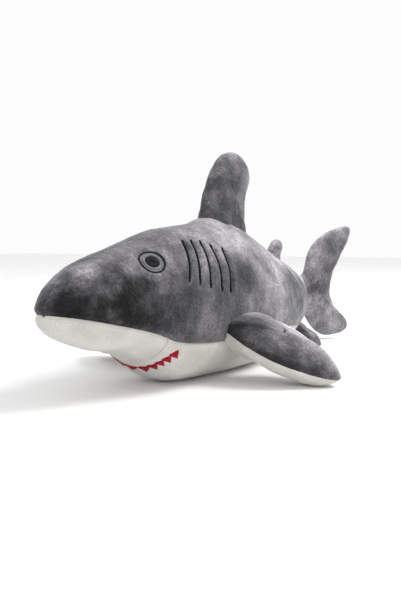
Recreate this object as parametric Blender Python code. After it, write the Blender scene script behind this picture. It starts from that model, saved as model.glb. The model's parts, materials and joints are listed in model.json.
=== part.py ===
"""Plush shark, sewn from short-pile fabric panels over soft fibre filling.

Metres, +Z up. The nose points along -Y, the tail along +Y, and the shark's left side is +X.
The origin lies on the flat underside of the chest, on the spine, where the toy rests.
A station is a distance along the spine, measured back from the tip of the nose.
"""
import math

import bmesh
import bpy
from mathutils import Matrix, Vector
from mathutils.bvhtree import BVHTree

# ---------------------------------------------------------------- driving dimensions
FABRIC = 0.0022           # thickness of a panel, backing and pile together
GAP = 0.0004              # clearance between neighbouring pieces
SEAM_GAP = 0.0005         # half of the groove along a seam
TRIM_LIFT = 0.0006        # height of embroidery above the panel it is sewn on
TRIM_THICK = 0.0010       # thickness of embroidery and applique

ORIGIN_STATION = 0.260    # the origin lies this far behind the nose
BODY_END = 0.575          # the body's filled length, up to the tail fin's root
TAIL_HINGE = 0.544        # station where the tail sways
TAIL_KNUCKLE = 0.0352     # radius of the rounded front of the tail
MOUTH_STATION = 0.126     # joint between the snout's underside and the lower jaw

# Heading of the spine at each station: degrees from +Y towards +X.
HEADING = [
    (0.00, 6), (0.15, 7), (0.30, 3), (0.40, -4), (0.48, -2), (0.54, 12), (0.60, 30), (0.72, 40),
]
# Body sections: station, half width, top, bottom, height of the widest line.
# A bottom below zero is pressed flat at zero, where the toy rests.
SECTIONS = [
    (0.000, 0.000, 0.0910, 0.0910, 0.0910),
    (0.006, 0.016, 0.1065, 0.0790, 0.0915),
    (0.022, 0.031, 0.1255, 0.0665, 0.0920),
    (0.055, 0.047, 0.1430, 0.0535, 0.0900),
    (0.100, 0.060, 0.1565, 0.0430, 0.0870),
    (0.135, 0.066, 0.1668, 0.0250, 0.0850),
    (0.162, 0.070, 0.1755, 0.0055, 0.0830),
    (0.190, 0.072, 0.1805, 0.0008, 0.0810),
    (0.235, 0.073, 0.1845, -0.0015, 0.0795),
    (0.280, 0.074, 0.1860, -0.0035, 0.0780),
    (0.330, 0.073, 0.1785, -0.0025, 0.0760),
    (0.390, 0.070, 0.1585, 0.0060, 0.0750),
    (0.440, 0.068, 0.1440, 0.0160, 0.0740),
    (0.490, 0.059, 0.1310, 0.0300, 0.0740),
    (0.530, 0.038, 0.1215, 0.0430, 0.0760),
    (0.575, 0.019, 0.1120, 0.0510, 0.0790),
]
# Height of the seam between the grey back and the white belly at each station.
SEAM = [
    (0.000, 0.0930), (0.022, 0.0890), (0.060, 0.0800), (0.112, 0.0650), (0.140, 0.0550),
    (0.192, 0.0490), (0.224, 0.0480), (0.300, 0.0500), (0.380, 0.0480), (0.440, 0.0430),
    (0.490, 0.0504), (0.530, 0.0580), (0.600, 0.0640),
]
UPPER_ROUNDNESS = 2.0     # exponent of the section above its widest line
LOWER_ROUNDNESS = 2.2     # and below it, a little squarer
RINGS = 30                # sections along the body's panels, and points round each
ROUND = 24
FILLING_RINGS = 24        # the same for the filling, which is coarser
FILLING_ROUND = 20
FILLING_GAP = 0.0028      # clearance between the panels and the coarser filling
FIN_FILLING_GAP = 0.0024  # the same in the fins

EYE_STATION = 0.118
EYE_ANGLE = 49            # degrees above the widest line
EYE_RINGS = {             # inner and outer radius of each ring of embroidery
    "eye_ring": (0.0135, 0.0165),
    "eye_iris": (0.0085, 0.0120),
    "eye_pupil": (0.0, 0.0075),
}
GILLS = [                 # station and angle of each stitch's top, then of its bottom
    (0.174, 60, 0.154, 24),
    (0.188, 59, 0.168, 21),
    (0.202, 57, 0.186, 18),
    (0.216, 52, 0.206, 15),
    (0.234, 48, 0.222, 14),
]
GILL_WIDTH = 0.0020
GILL_BOW = 0.004          # how far each stitch bows towards the tail
MOUTH_PATH = [            # station and angle from the corner of the mouth to the chin
    (0.140, -33), (0.1355, -46), (0.1335, -59), (0.135, -73), (0.138, -88),
]
TEETH = 5                 # teeth on each side
TOOTH_HEIGHT = 0.0085
TOOTH_FOOT = 0.0024
PROBE_REACH = 0.008       # embroidery is dropped onto the panel from this far outside it

GREY = (0.235, 0.232, 0.250)
WHITE = (0.830, 0.815, 0.790)
BLACK = (0.010, 0.010, 0.012)
PALE_GREY = (0.430, 0.435, 0.450)
RED = (0.420, 0.006, 0.022)
FIBRE = (0.900, 0.900, 0.890)

parts = None
cutters = None


# ---------------------------------------------------------------- tables and curves
def read_table(table, x):
    """Values at x, on a smooth curve through the rows of a table."""
    x = min(max(x, table[0][0]), table[-1][0])
    last = len(table) - 2
    i = 0
    while i < last and x > table[i + 1][0]:
        i += 1
    width = table[i + 1][0] - table[i][0]
    t = (x - table[i][0]) / width

    def slope(k, column):
        low = max(k - 1, 0)
        high = min(k + 1, len(table) - 1)
        return (table[high][column] - table[low][column]) / (table[high][0] - table[low][0])

    values = []
    for column in range(1, len(table[0])):
        a = table[i][column]
        b = table[i + 1][column]
        ma = slope(i, column) * width
        mb = slope(i + 1, column) * width
        values.append((2 * t**3 - 3 * t**2 + 1) * a + (t**3 - 2 * t**2 + t) * ma
                      + (3 * t**2 - 2 * t**3) * b + (t**3 - t**2) * mb)
    return values


def smooth_line(points, steps):
    """A smooth open line through points, with this many steps between two of them."""
    line = []
    for i in range(len(points) - 1):
        before = Vector(points[max(i - 1, 0)])
        a = Vector(points[i])
        b = Vector(points[i + 1])
        after = Vector(points[min(i + 2, len(points) - 1)])
        for k in range(steps):
            t = k / steps
            line.append(0.5 * (2 * a + (b - before) * t + (2 * before - 5 * a + 4 * b - after) * t**2
                               + (3 * a - 3 * b + after - before) * t**3))
    line.append(Vector(points[-1]))
    return line


# ---------------------------------------------------------------- body coordinates
def spine_point(station, step=0.0025):
    """The spine's place on the floor plan, added up from its heading."""
    def walk(length):
        x = 0.0
        y = 0.0
        count = max(int(round(abs(length) / step)), 1)
        for k in range(count):
            heading = math.radians(read_table(HEADING, (k + 0.5) * length / count)[0])
            x += math.sin(heading) * length / count
            y += math.cos(heading) * length / count
        return Vector((x, y, 0))
    return walk(station) - walk(ORIGIN_STATION)


def forward_and_left(station):
    """Unit directions at a station: along the spine to the tail, and to the shark's left."""
    heading = math.radians(read_table(HEADING, station)[0])
    along = Vector((math.sin(heading), math.cos(heading), 0))
    left = Vector((math.cos(heading), -math.sin(heading), 0))
    return along, left


def place(station, side, height):
    """A point from its station, its distance to the left of the spine, and its height."""
    along, left = forward_and_left(station)
    return spine_point(station) + left * side + Vector((0, 0, height))


def flank(station, angle, inset=0.0):
    """Side and height of the body's surface; 0 degrees is the widest line, 90 the back."""
    half_width, top, bottom, middle = read_table(SECTIONS, station)
    half_width = max(half_width - inset, 0.0005)
    top -= inset
    bottom += inset
    across = math.cos(math.radians(angle))
    up = math.sin(math.radians(angle))
    power = 2 / (UPPER_ROUNDNESS if up >= 0 else LOWER_ROUNDNESS)
    side = half_width * math.copysign(abs(across)**power, across)
    reach = top - middle if up >= 0 else bottom - middle
    return side, max(middle + reach * abs(up)**power, inset)


def ring(station, count, inset=0.0):
    """One closed section of the body."""
    points = []
    for k in range(count):
        side, height = flank(station, 360 * k / count - 90, inset)
        points.append(place(station, side, height))
    return points


def body_rings(count, steps, inset):
    """Sections from the nose to the end of the body, closer together near the nose."""
    first = 0.0016 + 2.2 * inset
    end = BODY_END - inset
    stations = []
    for k in range(steps + 1):
        t = k / steps
        stations.append(first + (end - first) * (0.35 * t**2 + 0.65 * t) if k else first)
    stations.insert(1, first + 0.005)
    return [ring(station, count, inset) for station in stations]


# ---------------------------------------------------------------- mesh helpers
def add_object(name, mesh, collection, colour=None, roughness=0.9):
    thing = bpy.data.objects.new(name, mesh)
    collection.objects.link(thing)
    if colour:
        thing.data.materials.append(material(name, colour, roughness))
    return thing


def material(name, colour, roughness):
    skin = bpy.data.materials.new(name)
    skin.use_nodes = True
    shader = skin.node_tree.nodes["Principled BSDF"]
    shader.inputs["Base Color"].default_value = (*colour, 1)
    shader.inputs["Roughness"].default_value = roughness
    shader.inputs["Metallic"].default_value = 0.0
    return skin


def loft(loops, closed=False):
    """A solid skinned over loops of equal length: capped at both ends, or closed on itself."""
    mesh = bpy.data.meshes.new("loft")
    shape = bmesh.new()
    rows = []
    for loop in loops:
        rows.append([shape.verts.new(point) for point in loop])
    pairs = len(rows) if closed else len(rows) - 1
    for i in range(pairs):
        row = rows[i]
        following = rows[(i + 1) % len(rows)]
        for k in range(len(row)):
            after = (k + 1) % len(row)
            shape.faces.new((row[k], row[after], following[after], following[k]))
    if not closed:
        shape.faces.new(rows[0])
        shape.faces.new(rows[-1])
    bmesh.ops.recalc_face_normals(shape, faces=shape.faces)
    shape.to_mesh(mesh)
    shape.free()
    return mesh


def cutter(name, loops):
    thing = add_object(name, loft(loops), cutters)
    thing.hide_render = True
    thing.display_type = "WIRE"
    return thing


def carve(target, operation, tool):
    modifier = target.modifiers.new(tool.name, "BOOLEAN")
    modifier.operation = operation
    modifier.solver = "EXACT"
    modifier.object = tool


def hang_on(pivot_name, position, names):
    """Parent pieces to an empty on their joint's axis, leaving them where they are."""
    pivot = bpy.data.objects.new(pivot_name, None)
    pivot.empty_display_size = 0.03
    pivot.location = position
    parts.objects.link(pivot)
    for name in names:
        piece = bpy.data.objects[name]
        piece.parent = pivot
        piece.matrix_parent_inverse = Matrix.Translation(-Vector(position))


# ---------------------------------------------------------------- body and tail
def band_region(name, stations, lowest, highest, right, left):
    """A cutter that runs along the spine between two heights and two sides."""
    loops = []
    for station in stations:
        low = lowest(station)
        high = highest(station)
        loops.append([place(station, right, low), place(station, left, low),
                      place(station, left, high), place(station, right, high)])
    return cutter(name, loops)


def spread(start, end, step):
    count = max(int(round((end - start) / step)), 1)
    return [start + (end - start) * k / count for k in range(count + 1)]


def behind_hinge(name, radius):
    """A cutter for everything behind the rounded front of the tail."""
    centre = spine_point(TAIL_HINGE)
    along, left = forward_and_left(TAIL_HINGE)
    outline = []
    for k in range(25):
        turn = math.pi * (k / 24 - 0.5)
        outline.append(centre + left * radius * math.sin(turn) - along * radius * math.cos(turn))
    outline.append(centre + left * 0.12)
    outline.append(centre + left * 0.12 + along * 0.12)
    outline.append(centre - left * 0.12 + along * 0.12)
    outline.append(centre - left * 0.12)
    low = [point + Vector((0, 0, -0.05)) for point in outline]
    high = [point + Vector((0, 0, 0.30)) for point in outline]
    return cutter(name, [low, high])


def make_body_and_tail():
    skin = loft(body_rings(ROUND, RINGS, 0.0))
    lining = cutter("lining", body_rings(ROUND, RINGS, FABRIC))
    socket = behind_hinge("tail_socket", TAIL_KNUCKLE + GAP)
    knuckle = behind_hinge("tail_knuckle", TAIL_KNUCKLE)
    wide = 0.085

    def seam(station):
        return read_table(SEAM, station)[0]

    whole = spread(-0.02, 0.60, 0.01)
    regions = {
        "left": band_region("left_region", whole, lambda s: seam(s) + SEAM_GAP,
                            lambda s: 0.25, SEAM_GAP, wide),
        "right": band_region("right_region", whole, lambda s: seam(s) + SEAM_GAP,
                             lambda s: 0.25, -wide, -SEAM_GAP),
        "snout": band_region("snout_region", spread(-0.02, MOUTH_STATION - SEAM_GAP, 0.01),
                             lambda s: -0.05, lambda s: seam(s) - SEAM_GAP, -wide, wide),
        "belly": band_region("belly_region", spread(MOUTH_STATION + SEAM_GAP, 0.60, 0.01),
                             lambda s: -0.05, lambda s: seam(s) - SEAM_GAP, -wide, wide),
    }
    pieces = [
        ("left_side_panel", "left", "DIFFERENCE", socket, GREY),
        ("right_side_panel", "right", "DIFFERENCE", socket, GREY),
        ("snout_panel", "snout", None, None, WHITE),
        ("belly_panel", "belly", "DIFFERENCE", socket, WHITE),
        ("tail_left_panel", "left", "INTERSECT", knuckle, GREY),
        ("tail_right_panel", "right", "INTERSECT", knuckle, GREY),
        ("tail_belly_panel", "belly", "INTERSECT", knuckle, WHITE),
    ]
    for name, region, operation, tool, colour in pieces:
        panel = add_object(name, skin.copy(), parts, colour)
        if tool:
            carve(panel, operation, tool)
        carve(panel, "INTERSECT", regions[region])
        carve(panel, "DIFFERENCE", lining)
    filling = loft(body_rings(FILLING_ROUND, FILLING_RINGS, FABRIC + FILLING_GAP))
    for name, operation, tool in (("body_stuffing", "DIFFERENCE", socket),
                                  ("tail_stuffing", "INTERSECT", knuckle)):
        core = add_object(name, filling.copy(), parts, FIBRE, 1.0)
        carve(core, operation, tool)
    return skin


# ---------------------------------------------------------------- fins
def inset_outline(outline, distance):
    """The outline moved inwards by a distance, along the normal at each point."""
    turn = 0.0
    count = len(outline)
    for k in range(count):
        a = outline[k]
        b = outline[(k + 1) % count]
        turn += a.x * b.y - b.x * a.y
    sign = 1 if turn > 0 else -1
    moved = []
    for k in range(count):
        along = (outline[(k + 1) % count] - outline[k - 1]).normalized()
        moved.append(outline[k] + distance * sign * Vector((-along.y, along.x)))
    return moved


def lens(frame, outline, centre, half_thickness, inset):
    """Loops of a pillow shape: thickest at its centre and rounded at its outline."""
    origin, along, out, across = frame
    edge = inset_outline(outline, inset)
    thick = half_thickness - inset
    levels = (0.35, 0.75, 0.95)
    loops = []

    def loop(level, height):
        return [origin + along * p.x + out * p.y + across * height
                for p in (centre + (q - centre) * level for q in edge)]

    for level in levels:
        loops.append(loop(level, thick * math.sqrt(1 - level**2.6)))
    loops.append(loop(1.0, 0.0))
    for level in reversed(levels):
        loops.append(loop(level, -thick * math.sqrt(1 - level**2.6)))
    return loops


def make_fin(prefix, frame, outline, centre, half_thickness, faces):
    """Two sewn panels over a filling; faces gives each panel's name and colour."""
    origin, along, out, across = frame
    centre = Vector(centre)
    skin = loft(lens(frame, outline, centre, half_thickness, 0.0))
    lining = cutter(prefix + "lining", lens(frame, outline, centre, half_thickness, FABRIC))
    reach = 0.30
    for sign, (name, colour) in zip((1, -1), faces):
        corners = ((-reach, -reach), (reach, -reach), (reach, reach), (-reach, reach))
        loops = []
        for height in (SEAM_GAP, 0.05):
            loops.append([origin + along * u + out * v + across * sign * height for u, v in corners])
        half = cutter(name + "_half", loops)
        panel = add_object(prefix + name, skin.copy(), parts, colour)
        carve(panel, "INTERSECT", half)
        carve(panel, "DIFFERENCE", lining)
    filling = lens(frame, outline, centre, half_thickness, FABRIC + FIN_FILLING_GAP)
    add_object(prefix + "stuffing", loft(filling), parts, FIBRE, 1.0)
    return [prefix + faces[0][0], prefix + faces[1][0], prefix + "stuffing"]


def back_fin_outline(station, base, free_edge, chord, steps):
    """A back fin: its free edge, then its root, which follows the back with a small gap."""
    outline = smooth_line(free_edge, steps)
    root = []
    for k in range(4):
        u = chord * (1 - k / 4)
        top = read_table(SECTIONS, station + u)[1]
        root.append(Vector((u, top - base + 2 * GAP)))
    return outline + root


DORSAL_STATION = 0.256
DORSAL_BASE = 0.186
DORSAL_CHORD = 0.102
DORSAL_TURN = 7           # the fin is sewn on turned to the left by this many degrees
DORSAL_EDGE = [
    (0.000, 0.002), (0.016, 0.038), (0.031, 0.068), (0.050, 0.090), (0.073, 0.098),
    (0.097, 0.092), (0.109, 0.077), (0.108, 0.056), (0.101, 0.030), (0.100, 0.005),
]
DORSAL_CENTRE = (0.060, 0.045)
DORSAL_THICK = 0.021      # half of the fin's thickness
DORSAL_HINGE = (0.306, 0.198)
SECOND_STATION = 0.467
SECOND_BASE = 0.139
SECOND_CHORD = 0.042
SECOND_TURN = 12
SECOND_EDGE = [
    (0.000, 0.002), (0.008, 0.012), (0.017, 0.024), (0.027, 0.031), (0.037, 0.030),
    (0.042, 0.020), (0.041, 0.006),
]
SECOND_CENTRE = (0.024, 0.009)
SECOND_THICK = 0.009
SECOND_HINGE = (0.488, 0.142)


def upright_frame(station, chord, base, turn):
    """A frame for a fin on the back: along its root, up and across."""
    a = spine_point(station)
    b = spine_point(station + chord)
    along = (b - a).normalized()
    along.rotate(Matrix.Rotation(-math.radians(turn), 3, "Z"))
    up = Vector((0, 0, 1))
    origin = (a + b) / 2 - along * chord / 2
    return origin + up * base, along, up, along.cross(up)


def make_back_fins():
    kinds = (
        ("dorsal", DORSAL_STATION, DORSAL_BASE, DORSAL_CHORD, DORSAL_TURN, DORSAL_EDGE,
         DORSAL_CENTRE, DORSAL_THICK, DORSAL_HINGE),
        ("second_dorsal", SECOND_STATION, SECOND_BASE, SECOND_CHORD, SECOND_TURN, SECOND_EDGE,
         SECOND_CENTRE, SECOND_THICK, SECOND_HINGE),
    )
    for kind, station, base, chord, turn, edge, centre, thick, hinge in kinds:
        frame = upright_frame(station, chord, base, turn)
        outline = back_fin_outline(station, base, edge, chord, 2)
        pieces = make_fin(kind + "_", frame, outline, centre, thick,
                          (("left_panel", GREY), ("right_panel", GREY)))
        hang_on(kind + "_pivot", place(hinge[0], 0, hinge[1]), pieces)


CAUDAL_TURN = 34          # degrees from +Y towards +X
CAUDAL_ROOT = 0.0012      # clearance behind the end of the tail
CAUDAL_EDGE = [
    (0.000, 0.112), (0.009, 0.147), (0.019, 0.163), (0.033, 0.175), (0.056, 0.186),
    (0.083, 0.193), (0.094, 0.189), (0.093, 0.174), (0.075, 0.136), (0.062, 0.108),
    (0.058, 0.082), (0.064, 0.056), (0.078, 0.038), (0.090, 0.024), (0.087, 0.011),
    (0.064, 0.004), (0.037, 0.006), (0.018, 0.018), (0.007, 0.032), (0.000, 0.048),
]
CAUDAL_CENTRE = (0.030, 0.086)
CAUDAL_THICK = 0.013
CAUDAL_HINGE = (0.010, 0.078)


def make_tail_fin():
    turn = math.radians(CAUDAL_TURN)
    along = Vector((math.sin(turn), math.cos(turn), 0))
    up = Vector((0, 0, 1))
    root = place(BODY_END, 0, 0)
    end_along, _ = forward_and_left(BODY_END)
    frame = (root + end_along * CAUDAL_ROOT, along, up, along.cross(up))
    outline = smooth_line(CAUDAL_EDGE, 1)
    outline.append(Vector((0.0, 0.070)))
    outline.append(Vector((0.0, 0.086)))
    pieces = make_fin("caudal_", frame, outline, CAUDAL_CENTRE, CAUDAL_THICK,
                      (("left_panel", GREY), ("right_panel", GREY)))
    hang_on("caudal_pivot", frame[0] + along * CAUDAL_HINGE[0] + up * CAUDAL_HINGE[1], pieces)


PECTORAL_STATION = 0.250
PECTORAL_EDGE = [
    (-0.042, 0.000), (-0.046, 0.022), (-0.045, 0.048), (-0.037, 0.074), (-0.022, 0.099),
    (-0.005, 0.117), (0.010, 0.123), (0.023, 0.116), (0.036, 0.098), (0.048, 0.072),
    (0.055, 0.045), (0.052, 0.022), (0.040, 0.000),
]
PELVIC_STATION = 0.472
PELVIC_EDGE = [
    (-0.019, 0.000), (-0.019, 0.018), (-0.011, 0.038), (0.003, 0.048), (0.017, 0.044),
    (0.022, 0.028), (0.021, 0.010), (0.019, 0.000),
]
# Each pair of side fins: name, station, place of the root beside the spine and its height,
# droop, rise and toe, free edge, centre, half thickness, steps along the edge, hinge inboard.
SIDE_FINS = (
    ("pectoral", PECTORAL_STATION, (0.0800, 0.0580), (25, 7, 0.05), PECTORAL_EDGE,
     (0.004, 0.052), 0.0205, 2, 0.008),
    ("pelvic", PELVIC_STATION, (0.0510, 0.0350), (42, 10, -0.42), PELVIC_EDGE,
     (0.002, 0.022), 0.0090, 1, 0.006),
)


def side_frame(origin, droop, rise, toe):
    """A fin's frame on the left side: back along the body, outwards, and up through it."""
    along = Vector((toe, math.cos(math.radians(rise)), math.sin(math.radians(rise)))).normalized()
    out = Vector((math.cos(math.radians(droop)), 0.02, -math.sin(math.radians(droop))))
    out = (out - along * out.dot(along)).normalized()
    across = out.cross(along)
    return Vector(origin), along, out, across


def mirror_frame(frame, station):
    """The same frame on the right: reflected in the upright plane through the spine."""
    middle = spine_point(station)
    _, left = forward_and_left(station)
    origin, along, out, across = frame

    def reflect(direction):
        return direction - 2 * left * direction.dot(left)

    return middle + reflect(origin - middle), reflect(along), reflect(out), reflect(across)


def make_side_fins():
    for kind, station, root, angles, edge, centre, thick, steps, inboard in SIDE_FINS:
        left_frame = side_frame(place(station, *root), *angles)
        outline = smooth_line(edge, steps)
        count = 3
        for k in range(1, count):
            outline.append(Vector(edge[-1]).lerp(Vector(edge[0]), k / count))
        for side in ("left", "right"):
            frame = left_frame if side == "left" else mirror_frame(left_frame, station)
            prefix = side + "_" + kind + "_"
            under = WHITE if kind == "pectoral" else GREY
            pieces = make_fin(prefix, frame, outline, centre, thick,
                              (("upper_panel", GREY), ("lower_panel", under)))
            hang_on(prefix + "pivot", frame[0] + frame[2] * inboard, pieces)


# ---------------------------------------------------------------- embroidery and applique
def surface_probe(skin):
    """A function that drops a point onto the body's faces along a direction."""
    shape = bmesh.new()
    shape.from_mesh(skin)
    tree = BVHTree.FromBMesh(shape)
    shape.free()

    def drop(point, inwards):
        hit = tree.ray_cast(point - inwards * PROBE_REACH, inwards)[0]
        return hit if hit else point
    return drop


def surface_frame(station, angle, side):
    """Point, outward normal and the direction towards the tail, on either side."""
    def at(s, a):
        across, height = flank(s, a)
        return place(s, side * across, height)
    point = at(station, angle)
    back = (at(station + 0.004, angle) - at(station - 0.004, angle)).normalized()
    up = (at(station, angle + 3) - at(station, angle - 3)).normalized()
    normal = back.cross(up) * side
    return point, normal.normalized(), back


def ring_of(drop, station, angle, side, radius, lift):
    point, normal, back = surface_frame(station, angle, side)
    up = normal.cross(back)
    loop = []
    for k in range(16):
        turn = 2 * math.pi * k / 16
        target = point + back * radius * math.cos(turn) + up * radius * math.sin(turn)
        loop.append(drop(target, -normal) + normal * lift)
    return loop


def make_eyes(drop):
    low = TRIM_LIFT
    high = TRIM_LIFT + TRIM_THICK
    colours = {"eye_ring": BLACK, "eye_iris": PALE_GREY, "eye_pupil": BLACK}
    for name, side in (("left_", 1), ("right_", -1)):
        for piece, (inner, outer) in EYE_RINGS.items():
            def edge(radius, lift):
                return ring_of(drop, EYE_STATION, EYE_ANGLE, side, radius, lift)
            if inner:
                mesh = loft([edge(inner, low), edge(outer, low), edge(outer, high),
                             edge(inner, high)], closed=True)
            else:
                mesh = loft([edge(outer, low), edge(outer, high)])
            add_object(name + piece, mesh, parts, colours[piece], 0.6)


def strip(rows):
    """A flat strip: each row gives its two edges and the outward normal there."""
    loops = []
    for a, b, normal in rows:
        low = normal * TRIM_LIFT
        high = normal * (TRIM_LIFT + TRIM_THICK)
        loops.append([a + low, b + low, b + high, a + high])
    return loft(loops)


def make_gills(drop):
    for name, side in (("left_", 1), ("right_", -1)):
        for number, (s_top, a_top, s_low, a_low) in enumerate(GILLS, start=1):
            rows = []
            for k in range(9):
                t = k / 8
                station = s_top + (s_low - s_top) * t + GILL_BOW * 4 * t * (1 - t)
                angle = a_top + (a_low - a_top) * t
                point, normal, back = surface_frame(station, angle, side)
                a = drop(point - back * GILL_WIDTH / 2, -normal)
                b = drop(point + back * GILL_WIDTH / 2, -normal)
                rows.append((a, b, normal))
            add_object(name + "gill_stitch_" + str(number), strip(rows), parts, BLACK, 0.6)


def make_mouth(drop):
    """A toothed strip on each side, from the corner of the mouth to near the chin."""
    steps = 2 * TEETH
    for name, side in (("left_", 1), ("right_", -1)):
        rows = []
        for k in range(steps + 1):
            reach = k / steps * (len(MOUTH_PATH) - 1)
            i = min(int(reach), len(MOUTH_PATH) - 2)
            t = reach - i
            station = MOUTH_PATH[i][0] + (MOUTH_PATH[i + 1][0] - MOUTH_PATH[i][0]) * t
            angle = MOUTH_PATH[i][1] + (MOUTH_PATH[i + 1][1] - MOUTH_PATH[i][1]) * t
            point, normal, back = surface_frame(station, angle, side)
            up = Vector((0, 0, 1)) - normal * normal.z
            up = up.normalized()
            peak = TOOTH_HEIGHT if k % 2 else TOOTH_FOOT
            a = drop(point - up * 0.0008, -normal)
            b = drop(point + up * peak, -normal)
            rows.append((a, b, normal))
        add_object(name + "mouth_applique", strip(rows), parts, RED, 0.7)


# ---------------------------------------------------------------- assembly
def clear_scene():
    for thing in list(bpy.data.objects):
        bpy.data.objects.remove(thing, do_unlink=True)


def add_collection(name):
    collection = bpy.data.collections.new(name)
    bpy.context.scene.collection.children.link(collection)
    return collection


def main():
    global parts, cutters
    clear_scene()
    parts = add_collection("plush_shark")
    cutters = add_collection("cutters")
    skin = make_body_and_tail()
    hang_on("tail_pivot", place(TAIL_HINGE, 0, 0.078),
            ["tail_left_panel", "tail_right_panel", "tail_belly_panel", "tail_stuffing"])
    make_back_fins()
    make_tail_fin()
    make_side_fins()
    drop = surface_probe(skin)
    make_eyes(drop)
    make_gills(drop)
    make_mouth(drop)


main()
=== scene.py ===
"""Looks of the plush shark: sewn short-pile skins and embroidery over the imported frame."""
import json
import math

import bmesh
import bpy
import numpy as np
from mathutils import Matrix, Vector
from mathutils.bvhtree import BVHTree

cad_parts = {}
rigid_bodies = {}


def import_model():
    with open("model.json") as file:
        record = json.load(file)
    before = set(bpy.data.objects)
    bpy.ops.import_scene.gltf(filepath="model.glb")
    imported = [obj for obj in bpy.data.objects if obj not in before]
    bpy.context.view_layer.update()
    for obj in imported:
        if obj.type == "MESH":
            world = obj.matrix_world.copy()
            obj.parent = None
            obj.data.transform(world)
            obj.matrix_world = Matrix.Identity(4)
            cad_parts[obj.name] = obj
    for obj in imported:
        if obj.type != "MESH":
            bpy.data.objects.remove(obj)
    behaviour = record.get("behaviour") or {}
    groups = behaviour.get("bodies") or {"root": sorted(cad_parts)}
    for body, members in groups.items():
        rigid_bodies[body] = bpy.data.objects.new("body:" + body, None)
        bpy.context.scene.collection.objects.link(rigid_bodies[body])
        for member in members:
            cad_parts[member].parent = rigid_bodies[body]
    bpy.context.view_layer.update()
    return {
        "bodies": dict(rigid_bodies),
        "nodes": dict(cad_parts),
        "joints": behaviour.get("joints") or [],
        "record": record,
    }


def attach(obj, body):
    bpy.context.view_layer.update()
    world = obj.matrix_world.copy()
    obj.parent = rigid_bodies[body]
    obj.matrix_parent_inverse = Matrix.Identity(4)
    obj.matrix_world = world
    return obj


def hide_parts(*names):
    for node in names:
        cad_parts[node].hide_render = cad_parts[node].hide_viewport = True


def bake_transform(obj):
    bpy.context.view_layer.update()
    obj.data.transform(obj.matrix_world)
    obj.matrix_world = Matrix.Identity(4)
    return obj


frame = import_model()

# ---------------------------------------------------------------- driving dimensions, in metres
ORIGIN_STATION = 0.260
BODY_END = 0.575
TAIL_BEND = (0.508, 0.572)  # stations at either end of the tail's turn
TAIL_BEND_HEIGHT = 0.078
TAIL_ROUND = 0.548        # the end of the body rounds off from here
MOUTH_STATION = 0.126
# Heading of the spine: station, degrees from +Y towards +X.
HEADING = [
    (0.00, 6), (0.15, 7), (0.30, 3), (0.40, -4), (0.48, -2), (0.54, 12), (0.60, 30), (0.72, 40),
]
# Body sections: station, half width, top, bottom, height of the widest line.
SECTIONS = [
    (0.000, 0.000, 0.0910, 0.0910, 0.0910),
    (0.006, 0.016, 0.1065, 0.0790, 0.0915),
    (0.022, 0.031, 0.1255, 0.0665, 0.0920),
    (0.055, 0.047, 0.1430, 0.0535, 0.0900),
    (0.100, 0.060, 0.1565, 0.0430, 0.0870),
    (0.135, 0.066, 0.1668, 0.0250, 0.0850),
    (0.162, 0.070, 0.1755, 0.0055, 0.0830),
    (0.190, 0.072, 0.1805, 0.0008, 0.0810),
    (0.235, 0.073, 0.1845, -0.0015, 0.0795),
    (0.280, 0.074, 0.1860, -0.0035, 0.0780),
    (0.330, 0.073, 0.1785, -0.0025, 0.0760),
    (0.390, 0.070, 0.1585, 0.0060, 0.0750),
    (0.440, 0.068, 0.1440, 0.0160, 0.0740),
    (0.490, 0.059, 0.1310, 0.0300, 0.0740),
    (0.530, 0.038, 0.1215, 0.0430, 0.0760),
    (0.575, 0.019, 0.1120, 0.0510, 0.0790),
]
# Height of the seam between the grey back and the white belly.
SEAM = [
    (0.000, 0.0930), (0.022, 0.0890), (0.060, 0.0800), (0.112, 0.0650), (0.140, 0.0550),
    (0.192, 0.0490), (0.224, 0.0480), (0.300, 0.0500), (0.380, 0.0480), (0.440, 0.0430),
    (0.490, 0.0504), (0.530, 0.0580), (0.600, 0.0640),
]
UPPER_POWER = 2 / 2.0
LOWER_POWER = 2 / 2.2
ROWS = 300                # stations along the body's skin
UPPER = 140               # points round the grey back, seam to seam
LOWER = 84                # points round the white belly
SKIN_THICK = 0.0014
SEAM_DEPTH = 0.0026       # how deep the seams pull in
SEAM_WIDTH = 0.0034
PILE_DEPTH = 0.00032      # height of the tufts of pile

EYE = (0.118, 49)         # station and angle above the widest line
EYE_RADIUS = 0.0165
GILLS = [                 # station and angle of each stitch's top and bottom
    (0.174, 60, 0.154, 24),
    (0.188, 59, 0.168, 21),
    (0.202, 57, 0.186, 18),
    (0.216, 52, 0.206, 15),
    (0.234, 48, 0.222, 14),
]
GILL_BOW = 0.004
GILL_DEPTH = 0.0030
GILL_WIDTH = 0.0030
TEETH = 5
RIGHT_TEETH_BACK = 0.006  # the far row sits this much further back at its middle
# Mounds of the back under its fins: first and last station, height and spread.
FIN_MOUNDS = [(0.262, 0.352, 0.0075, 0.017), (0.472, 0.506, 0.003, 0.009)]
MOUTH_PATH = [            # station and angle from the corner of the mouth to the chin
    (0.140, -33), (0.1355, -46), (0.1335, -59), (0.135, -73), (0.138, -89.5),
]


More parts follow.
